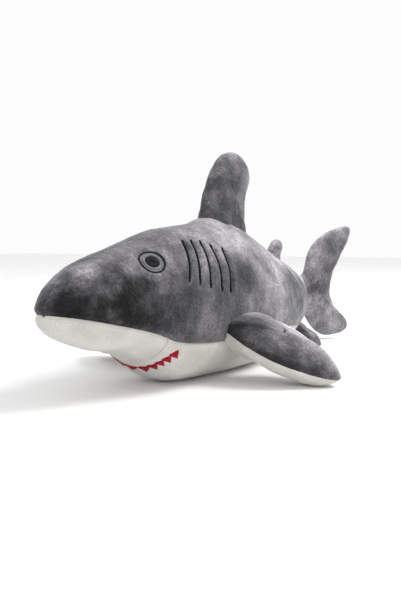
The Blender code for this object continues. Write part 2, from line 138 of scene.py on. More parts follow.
# ---------------------------------------------------------------- tables and noise
def read_table(table, x):
    """Columns of a table at each x, on smooth curves through its rows."""
    rows = np.array(table, float)
    knots = rows[:, 0]
    x = np.clip(np.asarray(x, float), knots[0], knots[-1])
    i = np.clip(np.searchsorted(knots, x, side="left") - 1, 0, len(knots) - 2)
    width = knots[i + 1] - knots[i]
    t = (x - knots[i]) / width
    low = np.maximum(np.arange(len(knots)) - 1, 0)
    high = np.minimum(np.arange(len(knots)) + 1, len(knots) - 1)
    columns = []
    for column in rows.T[1:]:
        slope = (column[high] - column[low]) / (knots[high] - knots[low])
        columns.append((2 * t**3 - 3 * t**2 + 1) * column[i]
                       + (t**3 - 2 * t**2 + t) * slope[i] * width
                       + (3 * t**2 - 2 * t**3) * column[i + 1]
                       + (t**3 - t**2) * slope[i + 1] * width)
    return columns


def smooth_line(points, steps):
    """A smooth open line through points, with this many steps between two of them."""
    p = np.array(points, float)
    p = np.vstack([2 * p[0] - p[1], p, 2 * p[-1] - p[-2]])
    line = []
    for i in range(1, len(p) - 2):
        for t in np.arange(steps) / steps:
            line.append(0.5 * (2 * p[i] + (p[i + 1] - p[i - 1]) * t
                               + (2 * p[i - 1] - 5 * p[i] + 4 * p[i + 1] - p[i + 2]) * t**2
                               + (3 * p[i] - 3 * p[i + 1] + p[i + 2] - p[i - 1]) * t**3))
    line.append(p[-2])
    return np.array(line)


def hashed(i, j, k, seed):
    """A repeatable value from -1 to 1 for each whole-number cell."""
    n = i * 374761393 + j * 668265263 + k * 2147483647 + seed * 1442695041
    n = (n ^ (n >> 13)) * 1274126177
    n = n ^ (n >> 16)
    return (n & 0xFFFF) / 32767.5 - 1


def value_noise(points, size, seed):
    """Smooth repeatable noise from -1 to 1, with lumps about this size."""
    p = points / size
    cell = np.floor(p).astype(np.int64)
    f = p - cell
    f = f * f * (3 - 2 * f)
    total = np.zeros(len(p))
    for a in (0, 1):
        for b in (0, 1):
            for c in (0, 1):
                weight = (np.abs(1 - a - f[:, 0]) * np.abs(1 - b - f[:, 1])
                          * np.abs(1 - c - f[:, 2]))
                total += weight * hashed(cell[:, 0] + a, cell[:, 1] + b, cell[:, 2] + c, seed)
    return total


# ---------------------------------------------------------------- body coordinates
def make_spine():
    stations = np.arange(-0.02, 0.70, 0.0005)
    heading = np.radians(read_table(HEADING, stations + 0.00025)[0])
    x = np.concatenate([[0], np.cumsum(np.sin(heading) * 0.0005)[:-1]])
    y = np.concatenate([[0], np.cumsum(np.cos(heading) * 0.0005)[:-1]])
    x -= np.interp(ORIGIN_STATION, stations, x)
    y -= np.interp(ORIGIN_STATION, stations, y)
    return stations, x, y


SPINE = make_spine()


def place(station, side, height):
    """Points from stations, distances to the left of the spine, and heights."""
    station, side, height = np.broadcast_arrays(station, side, height)
    heading = np.radians(read_table(HEADING, station)[0])
    x = np.interp(station, SPINE[0], SPINE[1]) + side * np.cos(heading)
    y = np.interp(station, SPINE[0], SPINE[2]) - side * np.sin(heading)
    return np.stack([x, y, height], -1)


def flank(station, angle):
    """The body's surface; 0 degrees is the widest line on the left, 90 the back."""
    half_width, top, bottom, middle = read_table(SECTIONS, station)
    across = np.cos(np.radians(angle))
    up = np.sin(np.radians(angle))
    power = np.where(up >= 0, UPPER_POWER, LOWER_POWER)
    side = half_width * np.sign(across) * np.abs(across)**power
    reach = np.where(up >= 0, top - middle, bottom - middle)
    return place(station, side, np.maximum(middle + reach * np.abs(up)**power, 0))


def seam_angle(station):
    """Angle of the grey and white seam at each station."""
    _, top, bottom, middle = read_table(SECTIONS, station)
    height = read_table(SEAM, station)[0]
    above = np.arcsin(np.clip((height - middle) / (top - middle + 1e-9), 0, 0.98))
    share = np.clip((middle - height) / (middle - bottom + 1e-9), 0, 0.999)
    below = -np.arcsin(share**(1 / LOWER_POWER))
    return np.degrees(np.where(height > middle, above, below))


def row_stations():
    """Stations of the skin's rows, closer together near the nose, with one on the mouth."""
    t = np.linspace(0, 1, ROWS)
    stations = 0.0006 + (BODY_END - 0.0006) * (0.30 * t**2 + 0.70 * t - 0.62 * t * (1 - t)**12)
    stations[np.abs(stations - MOUTH_STATION).argmin()] = MOUTH_STATION
    return stations


STATIONS = row_stations()
SEAM_ANGLES = seam_angle(STATIONS)


def column_angles(seam):
    """Angles round one row: over the back from seam to seam, then under the belly."""
    over = seam + (180 - 2 * seam) * np.arange(UPPER) / UPPER
    under = 180 - seam + (180 + 2 * seam) * np.arange(LOWER) / LOWER
    return np.concatenate([over, under])


ANGLES = np.array([column_angles(seam) for seam in SEAM_ANGLES])


def grid_normals(grid):
    """Unit normals of a grid whose columns close round the body."""
    along = np.gradient(grid, axis=0)
    around = np.roll(grid, -1, axis=1) - np.roll(grid, 1, axis=1)
    normal = np.cross(along, around)
    return normal / np.maximum(np.linalg.norm(normal, axis=2, keepdims=True), 1e-12)


def groove(distance, width):
    return np.exp(-(distance / width)**2)


def gill_path(gill, t):
    s_top, a_top, s_low, a_low = gill
    station = s_top + (s_low - s_top) * t + GILL_BOW * 4 * t * (1 - t)
    return station, a_top + (a_low - a_top) * t


def distance_to(points, path):
    """Distance from each point to a line of points, and how far along it the nearest one is."""
    best = np.full(len(points), 1.0)
    where = np.zeros(len(points))
    for k, spot in enumerate(path):
        d = np.linalg.norm(points - spot, axis=1)
        nearer = d < best
        best[nearer] = d[nearer]
        where[nearer] = k / (len(path) - 1)
    return best, where


def close_tail(grid):
    """Round the end of the body off, so that it closes inside the root of the tail fin."""
    share = np.clip((STATIONS - TAIL_ROUND) / (BODY_END - TAIL_ROUND), 0, 1)
    scale = 0.12 + 0.88 * np.sqrt(1 - 0.999 * share**2.2)
    middle = grid.mean(axis=1, keepdims=True)
    return middle + (grid - middle) * scale[:, None, None]


def make_skin_grid():
    """The whole body's skin as a grid of points, with its seams, gills and dents."""
    grid = close_tail(flank(STATIONS[:, None], ANGLES))
    normals = grid_normals(grid)
    flat = grid.reshape(-1, 3)
    station = np.repeat(STATIONS, UPPER + LOWER)
    inward = np.zeros(len(flat))

    # Seams: along both sides, along the back, and round the front of the jaw.
    for column in (0, UPPER // 2, UPPER):
        line = grid[:, column]
        spacing = np.linalg.norm(grid - line[:, None], axis=2).reshape(-1)
        depth = SEAM_DEPTH if column != UPPER // 2 else 0.25 * SEAM_DEPTH
        inward += depth * groove(spacing, SEAM_WIDTH)
    # The seam between the snout's underside and the lower jaw.
    under = np.tile(np.arange(UPPER + LOWER) >= UPPER, ROWS)
    inward += 0.8 * SEAM_DEPTH * groove(station - MOUTH_STATION, 0.0028) * under
    # Stitched gills pinch the fabric, which stands up between them.
    for side in (1, -1):
        for gill in GILLS:
            t = np.linspace(0, 1, 60)
            s, a = gill_path(gill, t)
            path = flank(s, a if side > 0 else 180 - a)
            distance, where = distance_to(flat, path)
            ends = np.clip(np.minimum(where, 1 - where) * 8, 0.25, 1)
            inward += GILL_DEPTH * ends * groove(distance, GILL_WIDTH)
            inward -= 0.0011 * ends * groove(distance - 0.0062, 0.0032)
    # The back rises to the roots of its fins.
    for first, last, rise, spread in FIN_MOUNDS:
        roots = np.linspace(first, last, 24)
        path = place(roots, 0, read_table(SECTIONS, roots)[1])
        inward -= rise * groove(distance_to(flat, path)[0], spread)
    # The eye's embroidery presses the pile down.
    for side in (1, -1):
        centre = flank(EYE[0], EYE[1] if side > 0 else 180 - EYE[1])
        distance = np.linalg.norm(flat - centre, axis=1)
        inward += 0.0012 / (1 + np.exp((distance - EYE_RADIUS) / 0.0012))
    # Lumps of filling under the fabric.
    lumps = value_noise(flat, 0.055, 3) * 0.0016 + value_noise(flat, 0.024, 5) * 0.0007
    fade = np.clip(station / 0.05, 0, 1)
    inward += lumps * fade
    return grid - normals * inward.reshape(grid.shape[:2] + (1,))


SKIN = make_skin_grid()
SKIN_NORMALS = grid_normals(SKIN)


def on_skin(station, angle, lift=0.0):
    """Points and normals on the finished skin at stations and angles."""
    station, angle = np.broadcast_arrays(np.asarray(station, float), np.asarray(angle, float))
    row = np.interp(station, STATIONS, np.arange(ROWS))
    seam = np.interp(station, STATIONS, SEAM_ANGLES)
    turned = (angle - seam) % 360
    over = 180 - 2 * seam
    column = np.where(turned <= over, turned / over * UPPER,
                      UPPER + (turned - over) / (360 - over) * LOWER)
    i = np.clip(np.floor(row).astype(int), 0, ROWS - 2)
    j = np.floor(column).astype(int)
    u = (row - i)[..., None]
    v = (column - j)[..., None]
    count = UPPER + LOWER

    def sample(field):
        return ((1 - u) * (1 - v) * field[i, j % count] + u * (1 - v) * field[i + 1, j % count]
                + (1 - u) * v * field[i, (j + 1) % count] + u * v * field[i + 1, (j + 1) % count])

    normal = sample(SKIN_NORMALS)
    normal /= np.linalg.norm(normal, axis=-1, keepdims=True)
    return sample(SKIN) + normal * lift, normal


# ---------------------------------------------------------------- mesh helpers
def mesh_object(name, points, faces, material, smooth=True):
    mesh = bpy.data.meshes.new(name)
    mesh.from_pydata([tuple(p) for p in points], [], [tuple(f) for f in faces])
    mesh.update()
    mesh.materials.append(material)
    if smooth:
        mesh.shade_smooth()
    thing = bpy.data.objects.new(name, mesh)
    bpy.context.scene.collection.objects.link(thing)
    return thing


def grid_faces(rows, columns, closed=False):
    """Quads over a grid of points; closed joins the last column to the first."""
    faces = []
    last = columns if closed else columns - 1
    for i in range(rows - 1):
        for j in range(last):
            k = (j + 1) % columns
            faces.append((i * columns + j, (i + 1) * columns + j,
                          (i + 1) * columns + k, i * columns + k))
    return faces


def tufts(points, seed, depth=PILE_DEPTH):
    """How far the tips of the pile stand out at each point."""
    fine = 0.70 * value_noise(points, 0.0050, seed)
    return (fine + 0.50 * value_noise(points, 0.0110, seed + 2)) * depth


def thicken(thing, thickness):
    """Turn an open skin into a closed shell of fabric thickness, inwards."""
    solid = thing.modifiers.new("thickness", "SOLIDIFY")
    solid.thickness = thickness
    solid.offset = -1
    bpy.context.view_layer.update()
    graph = bpy.context.evaluated_depsgraph_get()
    mesh = bpy.data.meshes.new_from_object(thing.evaluated_get(graph))
    thing.modifiers.clear()
    thing.data = mesh
    return thing


# ---------------------------------------------------------------- materials
class Paint:
    """A Principled material and short ways to add nodes to it."""

    def __init__(self, name, roughness, sheen=0.0, sheen_roughness=0.4, sheen_tint=(1, 1, 1)):
        self.material = bpy.data.materials.new(name)
        self.material.use_nodes = True
        self.tree = self.material.node_tree
        self.shader = self.tree.nodes["Principled BSDF"]
        self.shader.inputs["Roughness"].default_value = roughness
        self.shader.inputs["Metallic"].default_value = 0.0
        self.shader.inputs["Specular IOR Level"].default_value = 0.25
        self.shader.inputs["Sheen Weight"].default_value = sheen
        self.shader.inputs["Sheen Roughness"].default_value = sheen_roughness
        self.shader.inputs["Sheen Tint"].default_value = (*sheen_tint, 1)
        self.where = self.tree.nodes.new("ShaderNodeTexCoord").outputs["Object"]

    def link(self, source, target):
        self.tree.links.new(source, target)

    def noise(self, scale, detail=3.0, roughness=0.55, distortion=0.0,
              stretch=None, offset=(0, 0, 0)):
        vector = self.where
        if stretch or any(offset):
            mapping = self.tree.nodes.new("ShaderNodeMapping")
            mapping.inputs["Scale"].default_value = stretch or (1, 1, 1)
            mapping.inputs["Location"].default_value = offset
            self.link(vector, mapping.inputs["Vector"])
            vector = mapping.outputs["Vector"]
        node = self.tree.nodes.new("ShaderNodeTexNoise")
        node.inputs["Scale"].default_value = scale
        node.inputs["Detail"].default_value = detail
        node.inputs["Roughness"].default_value = roughness
        node.inputs["Distortion"].default_value = distortion
        self.link(vector, node.inputs["Vector"])
        return node.outputs["Fac"]

    def ramp(self, source, stops):
        node = self.tree.nodes.new("ShaderNodeValToRGB")
        node.color_ramp.elements[0].position = stops[0][0]
        node.color_ramp.elements[0].color = (*stops[0][1], 1)
        node.color_ramp.elements[1].position = stops[-1][0]
        node.color_ramp.elements[1].color = (*stops[-1][1], 1)
        for position, colour in stops[1:-1]:
            node.color_ramp.elements.new(position).color = (*colour, 1)
        self.link(source, node.inputs["Fac"])
        return node.outputs["Color"]

    def math(self, operation, a, b):
        node = self.tree.nodes.new("ShaderNodeMath")
        node.operation = operation
        for socket, value in zip(node.inputs, (a, b)):
            if isinstance(value, (int, float)):
                socket.default_value = value
            else:
                self.link(value, socket)
        return node.outputs["Value"]

    def mix(self, kind, factor, a, b):
        node = self.tree.nodes.new("ShaderNodeMix")
        node.data_type = "RGBA"
        node.blend_type = kind
        for name, value in (("Factor", factor), ("A", a), ("B", b)):
            socket = [s for s in node.inputs if s.name == name and s.enabled][0]
            if isinstance(value, (int, float)):
                socket.default_value = value
            elif isinstance(value, tuple):
                socket.default_value = (*value, 1)
            else:
                self.link(value, socket)
        return [s for s in node.outputs if s.enabled][0]

    def spots(self, colour, places):
        """Soft patches: each place is a centre, its reach and how much it lightens or darkens."""
        drift = self.math("SUBTRACT", self.noise(38, 3, 0.6, offset=(5, 2, 3)), 0.5)
        flip = self.tree.nodes.new("ShaderNodeVectorMath")
        flip.operation = "ABSOLUTE"
        self.link(self.where, flip.inputs[0])
        parts = self.tree.nodes.new("ShaderNodeSeparateXYZ")
        self.link(self.where, parts.inputs["Vector"])
        whole = self.tree.nodes.new("ShaderNodeSeparateXYZ")
        self.link(flip.outputs["Vector"], whole.inputs["Vector"])
        join = self.tree.nodes.new("ShaderNodeCombineXYZ")
        self.link(whole.outputs["X"], join.inputs["X"])
        self.link(parts.outputs["Y"], join.inputs["Y"])
        self.link(parts.outputs["Z"], join.inputs["Z"])
        for centre, reach, value in places:
            gap = self.tree.nodes.new("ShaderNodeVectorMath")
            gap.operation = "DISTANCE"
            self.link(join.outputs["Vector"], gap.inputs[0])
            gap.inputs[1].default_value = centre
            near = self.math("MULTIPLY_ADD", gap.outputs["Value"], 1 / reach)
            self.link(self.math("MULTIPLY", drift, 1.6), near.node.inputs[2])
            patch = self.ramp(near, [(0.15, (value, value, value)), (1.0, (1, 1, 1))])
            colour = self.mix("MULTIPLY", 1.0, colour, patch)
        return colour

    def axis(self, name):
        node = self.tree.nodes.new("ShaderNodeSeparateXYZ")
        self.link(self.where, node.inputs["Vector"])
        return node.outputs[name]

    def bump(self, height, distance, strength=1.0, below=None):
        node = self.tree.nodes.new("ShaderNodeBump")
        node.inputs["Distance"].default_value = distance
        node.inputs["Strength"].default_value = strength
        self.link(height, node.inputs["Height"])
        if below is not None:
            self.link(below, node.inputs["Normal"])
        return node.outputs["Normal"]

    def finish(self, colour, normal):
        self.link(colour, self.shader.inputs["Base Color"])
        if normal is not None:
            self.link(normal, self.shader.inputs["Normal"])
        return self.material


def grey(value, warmth=0.0):
    """A grey a little towards violet, or warmer."""
    return (value * (1.0 + warmth), value * (0.982 + 0.3 * warmth), value * (1.012 - warmth))


def grey_plush(name, stops, places=()):
    """Mottled grey short pile, painted lighter on faces that point up as if lit from above; stops
    lighten or darken it at these places along Y.
    """
    paint = Paint(name, 0.92, sheen=0.32, sheen_roughness=0.35, sheen_tint=(0.98, 0.97, 1.0))
    blotch = paint.ramp(paint.noise(15, 2.5, 0.5, 0.15),
                        [(0.30, grey(0.050)), (0.46, grey(0.088)),
                         (0.57, grey(0.155)), (0.74, grey(0.34, 0.01))])
    small = paint.ramp(paint.noise(62, 2.5, 0.55, 0.0, offset=(3, 1, 7)),
                       [(0.30, grey(0.26)), (0.50, grey(0.50)), (0.70, grey(0.82))])
    colour = paint.mix("OVERLAY", 0.8, blotch, small)
    low, high = stops[0][0], stops[-1][0]
    ramp = paint.math("MULTIPLY_ADD", paint.axis("Y"), 1 / (high - low))
    ramp.node.inputs[2].default_value = -low / (high - low)
    shade = paint.ramp(ramp, [((y - low) / (high - low), grey(value)) for y, value in stops])
    colour = paint.mix("MULTIPLY", 1.0, colour, shade)
    colour = paint.spots(colour, places)
    # Painted light: faces that point up are painted up to three times lighter and upright sides
    # darker, as if lit from above.
    facing = paint.tree.nodes.new("ShaderNodeNewGeometry").outputs["Normal"]
    parts = paint.tree.nodes.new("ShaderNodeSeparateXYZ")
    paint.link(facing, parts.inputs["Vector"])
    raised = paint.ramp(parts.outputs["Z"],
                        [(0.0, (0.78, 0.78, 0.78)), (0.35, (0.90, 0.90, 0.90)),
                         (0.95, (3.0, 3.0, 3.0))])
    colour = paint.mix("MULTIPLY", 1.0, colour, raised)
    colour = paint.mix("DIVIDE", 1.0, colour, paint.mix("ADD", 1.0, (1.0, 1.0, 1.0), colour))
    colour = paint.mix("DARKEN", 1.0, colour, (0.54, 0.54, 0.545))
    grain = paint.ramp(paint.noise(330, 3, 0.7),
                       [(0.32, (0.66, 0.66, 0.66)), (0.68, (1.40, 1.40, 1.40))])
    colour = paint.mix("MULTIPLY", 1.0, colour, grain)
    pile = paint.noise(700, 2, 0.6)
    tips = paint.ramp(pile, [(0.30, (0.70, 0.70, 0.70)), (0.70, (1.25, 1.25, 1.25))])
    colour = paint.mix("MULTIPLY", 1.0, colour, tips)
    normal = paint.bump(paint.noise(230, 3, 0.65), 0.0018, 0.9)
    normal = paint.bump(pile, 0.0010, 0.9, normal)
    return paint.finish(colour, normal)


def white_plush():
    """Warm white short pile."""
    paint = Paint("white_plush", 0.95, sheen=0.20, sheen_roughness=0.5)
    soft = paint.ramp(paint.noise(30, 3, 0.55),
                      [(0.32, (0.535, 0.515, 0.485)), (0.68, (0.66, 0.645, 0.62))])
    pile = paint.noise(620, 2, 0.6)
    tips = paint.ramp(pile, [(0.28, (0.86, 0.85, 0.83)), (0.72, (1.05, 1.05, 1.05))])
    colour = paint.mix("MULTIPLY", 1.0, soft, tips)
    normal = paint.bump(paint.noise(210, 3, 0.65), 0.0014, 0.7)
    normal = paint.bump(pile, 0.0007, 0.8, normal)
    return paint.finish(colour, normal)


def thread(name, dark, light, roughness=0.75):
    """Satin stitches: fine threads side by side."""
    paint = Paint(name, roughness, sheen=0.04, sheen_roughness=0.3)
    strands = paint.noise(900, 1, 0.5, stretch=(1, 0.25, 1))
    paint.shader.inputs["Specular IOR Level"].default_value = 0.12
    colour = paint.ramp(strands, [(0.35, dark), (0.65, light)])
    normal = paint.bump(strands, 0.0005, 0.9)
    return paint.finish(colour, normal)


# Soft dark and light places in the pile, the same on both sides: centre, reach, strength.
# Placed one by one to follow the light and dark of the real toy: partly its mottled pile, partly
# painted shade and painted light.
PATCHES = [
    ((0.002, -0.246, 0.108), 0.045, 0.16), ((0.014, -0.215, 0.100), 0.052, 0.27),
    ((0.030, -0.184, 0.112), 0.046, 0.22), ((0.035, -0.190, 0.085), 0.045, 0.34),
    ((0.045, -0.155, 0.072), 0.042, 0.55), ((0.046, -0.147, 0.100), 0.032, 0.65),
    ((0.051, -0.112, 0.056), 0.032, 0.60), ((0.065, -0.006, 0.126), 0.036, 0.26),
    ((0.063, 0.147, 0.114), 0.034, 0.20), ((0.070, 0.167, 0.081), 0.030, 0.20),
    ((0.058, 0.195, 0.105), 0.028, 0.26), ((0.064, -0.085, 0.078), 0.034, 1.60),
    ((0.050, -0.105, 0.130), 0.036, 1.35), ((0.076, 0.050, 0.088), 0.066, 2.20),
]
# Body pile darker at the head and lighter towards the tail: partly the pile's own tone, partly
# painted light falling from behind.
GREY = grey_plush("grey_plush", [
    (-0.26, 0.95), (-0.20, 0.72), (-0.12, 0.90), (-0.03, 1.15), (0.05, 1.70),
    (0.15, 2.60), (0.24, 2.70), (0.32, 2.1), (0.40, 2.1),
], PATCHES)
FIN_GREY = grey_plush("fin_grey_plush", [
    (-0.07, 0.17), (-0.03, 0.32), (0.000, 2.0), (0.030, 7.0),
])
# Dorsal pile lighter towards the fin's trailing edge: a painted rim highlight.
DORSAL_GREY = grey_plush("dorsal_grey_plush", [
    (-0.03, 0.70), (0.05, 0.78), (0.085, 1.7), (0.11, 3.6), (0.15, 0.6),
])
WHITE = white_plush()
BLACK = thread("black_thread", (0.004, 0.004, 0.005), (0.020, 0.020, 0.023))
PALE = thread("grey_thread", (0.11, 0.11, 0.12), (0.27, 0.27, 0.29))
RED = thread("red_applique", (0.16, 0.002, 0.010), (0.42, 0.008, 0.028), 0.6)


# ---------------------------------------------------------------- camera, floor and light
CAMERA_TURN = 30          # degrees off head-on, towards the shark's left
CAMERA_PITCH = 4.9        # degrees down
CAMERA_DISTANCE = 0.88
CAMERA_HEIGHT = 0.165
CAMERA_LENS = 41.9        # millimetres, on a 36 mm sensor


def make_camera():
    """Front left, a little above the back, at the height of a person kneeling down."""
    turn = math.radians(CAMERA_TURN)
    look = Vector((-math.sin(turn), math.cos(turn), 0))
    camera = bpy.data.cameras.new("camera")
    camera.lens = CAMERA_LENS
    camera.sensor_width = 36
    thing = bpy.data.objects.new("camera", camera)
    thing.location = look * -CAMERA_DISTANCE + Vector((0, 0, CAMERA_HEIGHT))
    thing.rotation_euler = (math.radians(90 - CAMERA_PITCH), 0, turn)
    bpy.context.scene.collection.objects.link(thing)
    bpy.context.scene.camera = thing


def make_stage():
    floor_paint = Paint("floor", 0.7)
    speckle = floor_paint.ramp(floor_paint.noise(8, 2),
                               [(0.3, (0.86, 0.86, 0.86)), (0.7, (0.90, 0.90, 0.90))])
    floor_paint.finish(speckle, None)
    size = 6.0
    points = [(-size, -size, 0), (size, -size, 0), (size, size, 0), (-size, size, 0)]
    floor = mesh_object("floor", points, [(0, 1, 2, 3)], floor_paint.material)
    floor.location.z = -0.0004
    world = bpy.data.worlds.new("studio")
    world.use_nodes = True
    background = world.node_tree.nodes["Background"]
    background.inputs["Color"].default_value = (1.0, 1.0, 1.0, 1)
    background.inputs["Strength"].default_value = 0.98
    bpy.context.scene.world = world


def make_light(name, place_at, aim, size, power, colour=(1, 1, 1)):
    light = bpy.data.lights.new(name, "AREA")
    light.shape = "DISK"
    light.size = size
    light.energy = power
    light.color = colour
    thing = bpy.data.objects.new(name, light)
    thing.location = place_at
    thing.rotation_euler = (Vector(aim) - Vector(place_at)).to_track_quat("-Z", "Y").to_euler()
    bpy.context.scene.collection.objects.link(thing)


bpy.context.scene.view_settings.view_transform = "Standard"
make_camera()
make_stage()
make_light("key", (1.2, 1.0, 2.0), (0, 0, 0.08), 1.2, 44)
make_light("fill", (-1.0, -1.6, 1.3), (0, 0, 0.08), 1.8, 3)


# ---------------------------------------------------------------- body skins
def body_panel(name, rows, columns, material, nodes, bodies, seed):
    """A part of the skin grid as its own closed shell of fabric."""
    columns = [c % (UPPER + LOWER) for c in columns]
    patch = SKIN[np.ix_(rows, columns)].reshape(-1, 3)
    normals = SKIN_NORMALS[np.ix_(rows, columns)].reshape(-1, 3)
    patch = patch + normals * tufts(patch, seed)[:, None]
    patch[:, 2] = np.maximum(patch[:, 2], 0.0004)
    thing = mesh_object(name, patch, grid_faces(len(rows), len(columns)), material)
    thicken(thing, SKIN_THICK)
    if len(bodies) == 2:
        start, end = (place(station, 0, TAIL_BEND_HEIGHT) for station in TAIL_BEND)
        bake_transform(thing)
    else:
        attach(thing, bodies[0])
    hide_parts(*nodes)
    return thing


def make_body():
    mouth = int(np.abs(STATIONS - MOUTH_STATION).argmin())
    whole = list(range(ROWS))
    both = ("body", "tail")
    under = list(range(UPPER, UPPER + LOWER + 1))
    body_panel("left_side_skin", whole, list(range(0, UPPER // 2 + 1)), GREY,
               ["left_side_panel", "tail_left_panel"], both, 11)
    body_panel("right_side_skin", whole, list(range(UPPER // 2, UPPER + 1)), GREY,
               ["right_side_panel", "tail_right_panel"], both, 21)
    body_panel("snout_skin", whole[:mouth + 1], under, WHITE,
               ["snout_panel"], ["body"], 31)
    body_panel("belly_skin", whole[mouth:], under, WHITE,
               ["belly_panel", "tail_belly_panel", "body_stuffing", "tail_stuffing"], both, 41)


# ---------------------------------------------------------------- fins
RIM = 132                 # points round a fin's outline
CLOTH_FRAMES = 20
CLOTH_CAP = 0.005         # the furthest the cloth may move a point
EASING = 10               # rounds of smoothing that ease the cloth's sharpest folds
LEVELS = 24               # rings of points between its seam and its middle
DORSAL = (0.256, 0.102, 0.186, 7)
SECOND = (0.467, 0.042, 0.139, 12)
# Each fin's free edge from the front of its root to the back; the root is sunk in the body.
DORSAL_EDGE = [
    (0.006, 0.002), (0.020, 0.038), (0.032, 0.068), (0.050, 0.090), (0.073, 0.098),
    (0.097, 0.092), (0.109, 0.077), (0.108, 0.056), (0.101, 0.030), (0.101, 0.003),
]
SECOND_EDGE = [
    (-0.002, -0.004), (0.008, 0.012), (0.017, 0.024), (0.027, 0.031), (0.037, 0.030),
    (0.042, 0.020), (0.041, 0.004), (0.042, -0.010),
]
CAUDAL_EDGE = [
    (0.000, 0.112), (0.009, 0.147), (0.019, 0.163), (0.033, 0.175), (0.056, 0.186),
    (0.083, 0.193), (0.094, 0.189), (0.093, 0.174), (0.075, 0.136), (0.062, 0.108),
    (0.058, 0.082), (0.064, 0.056), (0.078, 0.038), (0.090, 0.024), (0.087, 0.011),
    (0.064, 0.004), (0.037, 0.006), (0.018, 0.018), (0.007, 0.032), (0.000, 0.048),
]
PECTORAL_EDGE = [
    (-0.042, 0.000), (-0.046, 0.022), (-0.045, 0.048), (-0.037, 0.074), (-0.022, 0.099),
    (-0.005, 0.117), (0.010, 0.123), (0.023, 0.116), (0.036, 0.098), (0.048, 0.072),
    (0.055, 0.045), (0.052, 0.022), (0.040, 0.000),
]
PELVIC_EDGE = [
    (-0.019, 0.000), (-0.019, 0.018), (-0.011, 0.038), (0.003, 0.048), (0.017, 0.044),
    (0.022, 0.028), (0.021, 0.010), (0.019, 0.000),
]


def unit(vector):
    return vector / np.linalg.norm(vector)


def spine_at(station):
    return place(np.array(station), np.array(0.0), np.array(0.0))


def upright_frame(station, chord, base, turn):
    """A frame for a fin on the back: origin, along its root, up and across."""
    a = spine_at(station)
    b = spine_at(station + chord)
    along = unit(b - a)
    c = math.cos(math.radians(turn))
    s = math.sin(math.radians(turn))
    along = np.array([along[0] * c + along[1] * s, along[1] * c - along[0] * s, 0])
    up = np.array([0.0, 0.0, 1.0])
    return (a + b) / 2 - along * chord / 2 + up * base, along, up, np.cross(along, up)


def tail_frame():
    turn = math.radians(34)
    along = np.array([math.sin(turn), math.cos(turn), 0])
    up = np.array([0.0, 0.0, 1.0])
    end = unit(spine_at(BODY_END + 0.0005) - spine_at(BODY_END - 0.0005))
    return spine_at(BODY_END) + end * 0.0012, along, up, np.cross(along, up)


def side_frame(station, side, height, droop, rise, toe):
    """A fin's frame on the left side: back along the body, outwards, and up through it."""
    rise = math.radians(rise)
    droop = math.radians(droop)
    along = unit(np.array([toe, math.cos(rise), math.sin(rise)]))
    out = np.array([math.cos(droop), 0.02, -math.sin(droop)])
    out = unit(out - along * out.dot(along))
    origin = place(np.array(station), np.array(side), np.array(height))
    return origin, along, out, np.cross(out, along)


def mirrored(points, station):
    """Points reflected in the upright plane through the spine at a station."""
    ahead = unit(spine_at(station + 0.0005) - spine_at(station - 0.0005))
    left = np.array([ahead[1], -ahead[0], 0])
    away = (points - spine_at(station)) @ left
    return points - 2 * away[:, None] * left


def outline_of(edge, sunk):
    """RIM points evenly round a fin: its free edge, then its root sunk into the body."""
    free = smooth_line(edge, 12)
    root = smooth_line([edge[-1]] + sunk + [edge[0]], 12)[1:-1]
    loop = np.vstack([free, root])
    closed = np.vstack([loop, loop[:1]])
    length = np.concatenate([[0], np.cumsum(np.linalg.norm(np.diff(closed, axis=0), axis=1))])
    spots = np.arange(RIM) / RIM * length[-1]
    return np.stack([np.interp(spots, length, column) for column in closed.T], 1)


def pillow(frame, edge, sunk, centre, thick, belly):
    """A fin's two faces as rings from seam to middle: points, faces of each side, and (u, v)."""
    origin, along, out, across = frame
    rim = outline_of(edge, sunk)
    centre = np.array(centre)
    share = np.sin(np.linspace(0, math.pi / 2, LEVELS + 1))[::-1]
    flat = [rim]
    heights = [np.zeros(RIM)]
    for level in share[1:-1]:
        ring = centre + (rim - centre) * level
        flat.append(ring)
        heights.append(np.full(RIM, thick * math.sqrt(1 - level**2.3)))
    flat.append(centre[None])
    heights.append(np.array([thick]))
    upper = (np.vstack(flat), np.concatenate(heights))
    lower = (np.vstack(flat[1:]), -belly * np.concatenate(heights[1:]))
    uv = np.vstack([upper[0], lower[0]])
    height = np.concatenate([upper[1], lower[1]])
    points = origin + uv[:, :1] * along + uv[:, 1:] * out + height[:, None] * across
    top = len(upper[0])

    def ring_faces(first, rings, apex, flip):
        faces = []
        for r in range(rings - 1):
            for k in range(RIM):
                m = (k + 1) % RIM
                quad = (first(r) + k, first(r) + m, first(r + 1) + m, first(r + 1) + k)
                faces.append(quad[::-1] if flip else quad)
        for k in range(RIM):
            triangle = (first(rings - 1) + k, first(rings - 1) + (k + 1) % RIM, apex)
            faces.append(triangle[::-1] if flip else triangle)
        return faces

    above = ring_faces(lambda r: r * RIM, LEVELS, top - 1, False)
    below = ring_faces(lambda r: 0 if r == 0 else top + (r - 1) * RIM, LEVELS, len(uv) - 1, True)
    return points, above, below, uv


